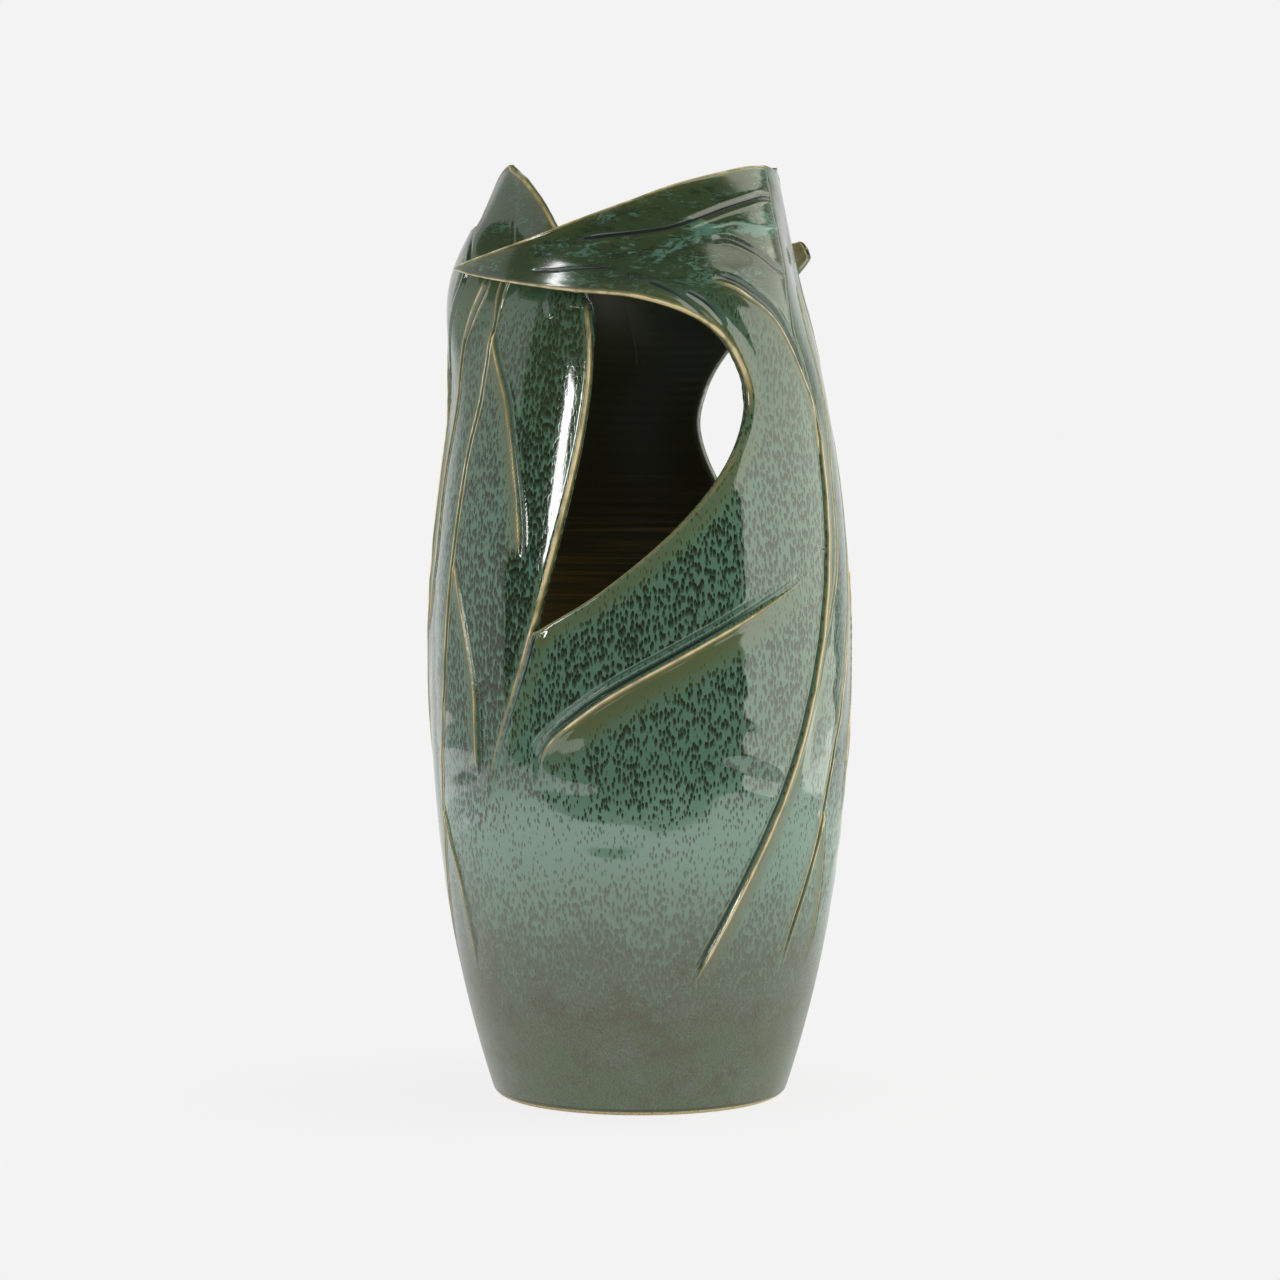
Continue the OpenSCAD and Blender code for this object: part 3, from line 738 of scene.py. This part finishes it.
def beside(path, turn, z):
    """Signed distance in mm from the nearest point of a path, more than 0 on the right of its travel,
    the share of the path at that point, and how far the place lies past either end. Every eighth
    point is tried first and then the ones round the nearest of those."""
    per_turn = np.pi / 180 * wall_r(z)
    rows = np.arange(len(turn))

    def nearest(tried):
        """The nearest of the tried points, and how far right and up of it each place lies."""
        right = (turn[:, None] - path[tried, 0]) * per_turn[:, None]
        upward = z[:, None] - path[tried, 1]
        best = np.argmin(right**2 + upward**2, axis=1)
        return np.broadcast_to(tried, right.shape)[rows, best], right[rows, best], upward[rows, best]

    end = len(path) - 1
    coarse = nearest(np.arange(0, len(path), search_step)[None])[0]
    k, off, up = nearest(np.clip(coarse[:, None] + np.arange(-search_step, search_step + 1), 0, end))
    step = np.gradient(path, axis=0)[k]
    run, rise = step[:, 0] * per_turn, step[:, 1]
    size = np.hypot(run, rise)
    onward = (off * run + up * rise) / size
    past = np.where(k == 0, -onward, 0) + np.where(k == end, onward, 0)
    return (off * rise - up * run) / size, k / end, np.maximum(past, 0)


def carve(lines, turn, z):
    """The sum of every line's waves at places on the wall: lift, ridge, warm, pool and dense. A line is
    its path, its kind, the side of its bank, its strength and the shares over which it fades in and out."""
    total = np.zeros((5,) + turn.shape)
    margin = np.degrees(line_reach / least_wall_r)
    for path, kind, side, strength, fade in lines:
        near = (turn > path[:, 0].min() - margin) & (turn < path[:, 0].max() + margin) \
            & (z > path[:, 1].min() - line_reach) & (z < path[:, 1].max() + line_reach)
        if not near.any():
            continue
        away, share, past = beside(path, turn[near], z[near])
        away = away * side
        keep = strength * np.exp(-(past / end_fade) ** 2)
        keep = keep * ease(0, fade[0], share) if fade[0] else keep
        keep = keep * (1 - ease(1 - fade[1], 1, share)) if fade[1] else keep
        for at, wide, *amounts in line_kinds[kind]:
            wave = keep * np.exp(-((away - at) / wide) ** 2)
            for number, amount in enumerate(amounts):
                if amount:
                    total[number][near] += amount * wave
    return total


def spot_on(turn, z, r):
    """The point at a turn, a height and a radius, in mm."""
    angle = np.radians(turn)
    return np.stack([r * np.sin(angle), -r * np.cos(angle), z], axis=-1)


def both_ends(count):
    """Shares from 0 to 1 whose steps are smaller at both ends: 3 parts even and 2 parts of a half wave."""
    even = np.linspace(0, 1, count)
    return 0.6 * even + 0.4 * (1 - np.cos(np.pi * even)) / 2


def blade(left, right, j, lines, thick, free_left, free_right, columns, lifted=0.0, crown=None, painted_lit=0.0,
          dense=None):
    """A closed slab of clay. Each row runs from its left point to its right one, (turn, height), and
    lies on the wall, lifted by collar j's swell and the carved lines. A free side is rounded by a
    half circle as thick as the slab, and a joined side swells half a mm into its neighbour. The outer
    face has a point at each share of columns, and the inner one at a few even shares. By turn and
    height, crown and dense tell where the collars' glaze and thick glaze lie. The rows given for
    painted light show cream on their inner face: partly the pale glaze at a thin edge, and partly
    painted light where that face lies in shade."""
    rows = len(left)
    columns = np.broadcast_to(columns, (rows, np.shape(columns)[-1]))
    across = columns.shape[1]
    middle = (left[:, 1] + right[:, 1]) / 2
    run = np.hypot(np.radians(right[:, 0] - left[:, 0]) * wall_r(middle), right[:, 1] - left[:, 1])
    thick, free_left, free_right, run = [np.reshape(v, (-1, 1)) for v in (thick, free_left, free_right, run)]
    round_left = np.minimum(free_left * thick / 2, run * most_round) / run
    round_right = np.minimum(free_right * thick / 2, run * most_round) / run
    flat = 1 - round_left - round_right
    lip = np.radians(np.linspace(90, -90, lip_points_round + 2)[1:-1])[None]
    right_lip = 1 - round_right * (1 - np.cos(lip)) + tongue * (1 - free_right) / run * np.cos(lip)
    left_lip = round_left * (1 - np.cos(lip)) - tongue * (1 - free_left) / run * np.cos(lip)
    inner = np.linspace(1, 0, inner_columns)[None]
    share = np.concatenate([round_left + columns * flat, right_lip, round_left + inner * flat,
                            left_lip[:, ::-1]], axis=1)
    sink = (1 - np.sin(lip[0])) / 2
    depth = np.concatenate([np.zeros(across), sink, np.ones(inner_columns), sink[::-1]])[None] + 0 * share
    turn = left[:, :1] + share * (right[:, :1] - left[:, :1])
    z = left[:, 1:] + share * (right[:, 1:] - left[:, 1:])
    bare_r = wall_r(z) + swell_at(j, stem_turn(j, z) - turn, z) + np.reshape(lifted, (-1, 1))
    ring = share.shape[1]
    outer = depth < 1
    carved = np.zeros((5, rows, ring))
    carved[:, outer] = carve(lines, turn[outer], z[outer])
    inner_r = bare_r - thick - thrown_rings(z)
    r = (1 - depth) * (bare_r + carved[0] + thumbed(turn, z)) + depth * inner_r
    points = spot_on(turn, z, r)

    normals = np.zeros((rows, ring, 3))
    first_inner = across + lip_points_round
    for face in (slice(0, across), slice(first_inner, first_inner + inner_columns)):
        facing = np.cross(np.gradient(points[:, face], axis=1), np.gradient(points[:, face], axis=0))
        normals[:, face] = facing / np.maximum(np.linalg.norm(facing, axis=-1, keepdims=True), 1e-9)

    behind = ease(inside_from, inside_full, depth)
    # Painted light: the chosen rows' inner face gets cream through the ridge mask, since it lies in shade.
    painted_lit = behind * np.reshape(painted_lit, (-1, 1))
    ridge = carved[1] * (1 - ease(ridge_from, ridge_gone, depth)) + painted_lit_cream * painted_lit
    crowned = crown(turn, z) if crown else 0 * z
    thicker = dense(turn, z) if dense else 0
    masks = masks_for(rows * ring, ridge=ridge, warm=carved[2], pool=carved[3], inside=behind - painted_lit,
                      crown=crowned, dense=carved[4] + thicker)
    here = np.arange(rows * ring).reshape(rows, ring)
    beyond = np.roll(here, -1, axis=1)
    sides = np.stack([here[:-1], beyond[:-1], beyond[1:], here[1:]], axis=-1).reshape(-1, 4)
    return points.reshape(-1, 3), [sides, here[:1, ::-1], here[-1:]], masks, normals.reshape(-1, 3)


def vein(i, points, steps=90):
    """A line on leaf i through points of (height, share of the leaf's width)."""
    h, share = smooth_path(points, steps).T
    left = stem_turn(i, h)
    return np.stack([left + share * (edge_turn(i, h) - left), h], axis=1)


def climbing(turn_at, low, high, steps=150):
    """A line that climbs the wall from one height to another."""
    z = np.linspace(low, high, steps)
    return np.stack([turn_at(z), z], axis=1)


def seam_lines(j):
    """The raised seam along stem j up to the shoulder, and the pressed one from there up to the rim."""
    raised = climbing(lambda z: stem_turn(j, z), raised_from, raised_to)
    pressed = climbing(lambda z: stem_turn(j, z), pressed_from, collar_top_h[j % 3] - 1)
    return [(raised, "stem", 1, 1.0, (0.08, 0.1)), (pressed, "seam", 1, 0.9, (0.15, 0.25))]


def edge_line(i):
    """The rolled free edge of leaf i, which runs on down over the swirling leaf's tail."""
    rolled = climbing(lambda z: edge_turn(i, z), rolled_from[i], rolled_to)
    return (rolled, "edge", -1, 1.0, (rolled_fade[i], 0.06))


def veins_of(i):
    """A run of glaze, the double midrib and outer vein, and three side veins that leave the midrib."""
    outer = [(188, .03), (209, .093), (226, .111), (255, .094), (284, .146), (313, .188), (334, .2)]
    high = [(313, .42), (298, .50), (283, .575), (272, .62), (256.6, .685), (237, .77), (217.5, .84)]
    low = [(220, .37), (205, .479), (183, .632), (167, .738), (144, .855), (136, .89)]
    foot = [(120.5, .56), (104.5, .713), (88.7, .849), (68.7, .96), (54, 1.01)]
    drip = [(330, .74), (323.5, .746), (318.6, .771), (314.5, .784)]
    return [(vein(i, drip, 30), "drip", 1, 1.0, (0, 0.1)),
            (vein(i, midrib[:-1]), "double", 1, 1.0, (0.1, 0.25)),
            (vein(i, outer), "double", 1, 0.9, (0.1, 0.05)),
            (vein(i, high), "vein", 1, 1.0, (0.06, 0.1)),
            (vein(i, low), "vein", 1, 1.0, (0.06, 0.1)),
            (vein(i, foot), "vein", 1, 0.9, (0.06, 0.25))]


def upright_leaf(i):
    """Leaf i from the bowl to its tip, narrowing as a share of the way from its stem to its free edge.
    Above the collar its left side comes round to the tip in a quarter turn. Its columns crowd at both
    edges and at the midrib."""
    tip = leaf_tip_h[i]
    z = np.concatenate([np.linspace(base_h, tip - point_h, blade_rows, endpoint=False),
                        tip - point_h * np.linspace(1, 0, point_rows) ** point_crowding])
    stem = stem_turn(i, z)
    wide = edge_turn(i, z) - stem
    start = max(collar_top_h[i], tip - close_h)
    t = np.clip((z - start) / (tip - start), 0, 1)
    closed = 1 - np.sqrt(1 - t**2) if tip > collar_top_h[i] + clear_h else np.sqrt(t * (2 - t))
    h = np.where(z > free_h, np.minimum(drawn_h, z * drawn_h / tip), z)
    keep = np.maximum(through(h, leaf_narrow), leaf_tip_share[i] + least_width)
    low_share = closed * leaf_tip_share[i]
    left = np.stack([stem + low_share * wide, z], axis=1)
    right = np.stack([stem + keep * wide, z], axis=1)
    thinned = wall_t - leaf_thin * ease(thin_from, thin_full, z)
    thick = thinned * np.sqrt(1 - tip_pinch * ease(tip - 3, tip + 0.3, z))
    free_left = ease(collar_top_h[i] - 1, collar_top_h[i] + clear_h, z)
    free_right = ease(corner_h - 1, corner_h + 6, z)
    rib = (through(z, midrib) - low_share) / (keep - low_share)
    rib = np.clip(rib, rib_margin, 1 - rib_margin)[:, None]
    spread = both_ends(half_columns)
    columns = np.concatenate([rib * spread, rib + (1 - rib) * spread[1:]], axis=1)
    crest = np.concatenate([right[z > free_h], left[z > collar_top_h[i]][::-1]])
    lines = seam_lines(i) + [edge_line(i), (crest, "rim", -1, 1.0, (0.1, 0.05))] + veins_of(i)

    def thick_glaze(turn, h):
        """None over most of the leaf's width, and full beside its free edge."""
        share = (turn - stem_turn(i, h)) / (edge_turn(i, h) - stem_turn(i, h))
        return ease(0.62, 0.8, share)

    return blade(left, right, i, lines, thick, free_left, free_right, columns,
                 crown=lambda turn, h: 0.6 * ease(322, 345, h), dense=thick_glaze)


for i in range(3):
    leaf = wall_of(f"leaf_upright_{i + 1}", *upright_leaf(i))
    finish_piece(leaf, f"upright_leaf_{i + 1}", "glaze_deep")


# ---- The three swirling leaves ----
# Long strips of the same slab clay. Each starts as a narrow tail beside a free edge, turns over the
# pierced mouth and sweeps back as a raised collar, whose tip lies on the upright leaf before it.
hook_h = 132
half_h = 176
apex_h = 224
mouth_band = 28.6
collar_reach = (83, 129, 86)
collar_tip_h = (344, 338, 350)
tip_blunt = (1.3, 1.3, 7)
collar_t = 4.5
tip_t = 2.2
tip_lift = (0.6, 2.8, 0.2)
drawn_corner, drawn_band, drawn_reach = 86, 28.6, 131
drawn_far_h, drawn_tip_h = 281, 338
risen = 108
nose_long = 0.03
tail_point = 1.5
low_knot = 2.6
top_knot = 7
stretch_rows = (90, 70, 180, 150)
collar_columns = 120
lip_steps, low_lip_to, lip_from, thin_lip_from = 260, 110, 90, 150
fold_line = [[105, 0.01], [112, 0.05], [122, 0.12], [134, 0.165], [147, 0.17], [159, 0.243],
             [169, 0.33], [184, 0.503], [200, 0.7], [212, 0.853], [224, 0.985]]
lip_line = [[69, 206], [50, 231], [35, 258], [28.6, 281], [32.5, 298], [43, 311], [61, 319.5],
            [84, 323.5], [108, 330]]
rim_line = [[0.13, 0.075], [0.36, 0.3], [0.5, 0.5], [0.62, 0.68], [0.74, 0.85], [0.86, 0.95]]


def fold_turn(i, z):
    """The fold's line as a share of the way from the free edge to the next stem."""
    edge = edge_turn(i, z)
    return np.where(z <= tail_h, edge, edge + through(z, fold_line) * (stem_turn(i + 1, z) - edge))


def fold_seam(i):
    """The raised fold below the mouth, from a hook beside the free edge up to the next stem."""
    return (climbing(lambda z: fold_turn(i, z), hook_h, apex_h), "fold", 1, 1.0, (0.3, 0.45))


def lip_points(i, j):
    """The mouth's lip from its low corner round to the collar's tip, fitted between edge and stem."""
    corner = edge_turn(i, float(corner_h))
    low = (stem_turn(j, float(drawn_far_h)) - corner - mouth_band) / (drawn_corner - drawn_band)
    high = (collar_reach[j % 3] - mouth_band) / (drawn_reach - drawn_band)
    tip_rise = collar_tip_h[j % 3] - drawn_tip_h
    place = stem_place(j)
    points = [[corner, corner_h]]
    for n, (back, h) in enumerate(lip_line):
        rise = (tip_rise + (1 - high) * (drawn_tip_h - h)) * ease(drawn_band, risen, back) if n > 3 else 0
        points.append([place - mouth_band - (back - drawn_band) * (low if n < 3 else high), h + rise])
    return points + [[place - collar_reach[j % 3], collar_tip_h[j % 3]]]


def rim_points(j):
    """The collar's rim from the top of its stem, falling to its tip."""
    top = collar_top_h[j % 3]
    start = np.array([stem_turn(j, float(top)), top])
    tip = np.array([stem_place(j) - collar_reach[j % 3], collar_tip_h[j % 3] + tip_blunt[j % 3]])
    return [start] + [start + np.array(p) * (tip - start) for p in rim_line] + [tip]


def collar_grooves(j):
    """Grooves pressed into the collar and runs of glaze on it, given on the widest collar as
    (turn back from the stem, height), and drawn in towards the stem on a narrower one."""
    both_fade = (0.12, 0.12)
    strokes = [([(83, 343), (73.4, 344.7), (62.2, 346.1), (52.6, 348.2), (45.1, 351.8), (41, 354),
                 (29.6, 359.6), (12.1, 366.1), (2, 367)], "groove", 1, 1.1),
               ([(93, 332.6), (86, 332), (80, 331.9), (72.5, 331.9), (68.8, 332.6)], "scratch", 1, 0.9),
               ([(39.5, 344.7), (33, 344.5), (25, 340.5), (18, 336), (9.7, 334)], "groove", 1, 0.8),
               ([(42.1, 328.4), (34.6, 326.3), (28.4, 322.2), (16.8, 312.5), (6.3, 296), (0.4, 283),
                 (-1, 270), (-0.6, 260)], "curl", 1, 1.0),
               ([(48.6, 323.6), (42, 318.3), (36, 309.4)], "groove", 1, 0.5),
               ([(60.4, 327.3), (55.2, 324.5), (50.9, 321.4), (45.7, 316.7), (40.6, 311.4), (36.4, 308.4)],
                "groove", 1, 0.6),
               ([(1, 356.3), (12, 353), (21.9, 351.7), (30.4, 352.3), (38.8, 349.7), (43.3, 352.3),
                 (49, 352)], "run", -1, 1.0),
               ([(43.3, 350), (45, 343), (51.9, 339.0), (56.8, 334.1), (61, 331.7), (66.6, 334.1)],
                "run", 1, 0.6)]
    reach = collar_reach[j % 3] / collar_reach[1]
    made = []
    for points, kind, side, strength in strokes:
        path = smooth_path(points, 90)
        path[:, 0] = stem_place(j) - path[:, 0] * (1 - (1 - reach) * ease(0, 60, path[:, 0]))
        made.append((path, kind, side, strength, both_fade))
    return made


def swirl_leaf(i):
    """Four stretches of rows: its tail beside the edge, its low lip, its flank and its collar. A row's
    part is how many stretches it has passed: 1 at the mouth's corner, 2 at the fold's apex, 3 at the
    collar's foot and 4 at its tip."""
    j = i + 1
    lip, rim = lip_points(i, j), rim_points(j)
    knots = (0, 0, low_knot, top_knot, len(lip) - 1.0)
    heights = (tail_h, half_h, apex_h, rim[0][1])
    left, right, part = [], [], []
    for number, count in enumerate(stretch_rows):
        last = number == 3
        s = np.linspace(0, 1, count, endpoint=last)
        if last:
            s = (s + np.sin(np.pi / 2 * s)) / 2
            right.append(at_knots(rim, (len(rim) - 1) * s))
        else:
            z = heights[number] + (heights[number + 1] - heights[number]) * s
            turn = stem_turn(j, z) if number == 2 else fold_turn(i, z)
            right.append(np.stack([turn, z], axis=1))
        if number == 0:
            z = tail_h + tail_point + (corner_h - tail_h - tail_point) * s
            left.append(np.stack([edge_turn(i, z), z], axis=1))
        else:
            left.append(at_knots(lip, knots[number] + (knots[number + 1] - knots[number]) * s))
        part.append(number + s)
    left, right, part = np.concatenate(left), np.concatenate(right), np.concatenate(part)
    nose = np.sqrt(1 - 0.96 * np.clip((part - 4 + nose_long) / nose_long, 0, 1) ** 2)[:, None]
    middle = (left + right) / 2
    left, right = middle + (left - middle) * nose, middle + (right - middle) * nose
    thick = wall_t + (collar_t - wall_t) * ease(2.5, 3, part) + (tip_t - collar_t) * ease(3.2, 3.88, part)
    free_left = ease(0.98, 1.06, part)
    free_right = ease(2.99, 3.02, part)
    lifted = tip_lift[j % 3] * ease(3.3, 3.88, part)
    whole_lip = smooth_path(lip, lip_steps)
    lines = seam_lines(j) + [edge_line(i), fold_seam(i),
                             (whole_lip[:low_lip_to], "low_lip", 1, 1.0, (0, 0.3)),
                             (whole_lip[lip_from:], "lip", 1, 1.0, (0.2, 0.7)),
                             (whole_lip[thin_lip_from:], "thin_lip", 1, 1.0, (0.2, 0.02)),
                             (smooth_path(rim, 120), "rim", -1, 1.0, (0, 0))]
    columns = both_ends(collar_columns)
    # The rows nearest the collar's tip get painted light: cream on their inner face, which lies in shade.
    return blade(left, right, j, lines + collar_grooves(j), thick, free_left, free_right, columns, lifted,
                 crown=lambda turn, h: ease(308, 334, h), painted_lit=ease(3.6, 3.8, part))


for i in range(3):
    leaf = wall_of(f"leaf_swirling_{i + 1}", *swirl_leaf(i))
    finish_piece(leaf, f"swirl_leaf_{i + 1}", "glaze_collar")


# ---- The three fold leaves ----
# The broad low slabs that are luted up over each swirling leaf. Their top edge is the raised fold,
# where the glaze breaks to cream, with a wide amber band below it.
tail_rows, fold_rows, fold_columns = 60, 200, 170


def fold_leaf(i):
    """Leaf i from the bowl to the fold's apex, between the fold's line and the next stem."""
    z = np.concatenate([np.linspace(base_h, tail_h, tail_rows, endpoint=False),
                        np.linspace(tail_h, apex_h, fold_rows)])
    left = np.stack([fold_turn(i, z), z], axis=1)
    right = np.stack([stem_turn(i + 1, z), z], axis=1)
    lines = seam_lines(i + 1) + [edge_line(i), fold_seam(i)]
    none = np.zeros(len(z))
    return blade(left, right, i + 1, lines, none + wall_t, none, none, both_ends(fold_columns))


for i in range(3):
    leaf = wall_of(f"leaf_fold_{i + 1}", *fold_leaf(i))
    finish_piece(leaf, f"fold_leaf_{i + 1}", "glaze_pale")
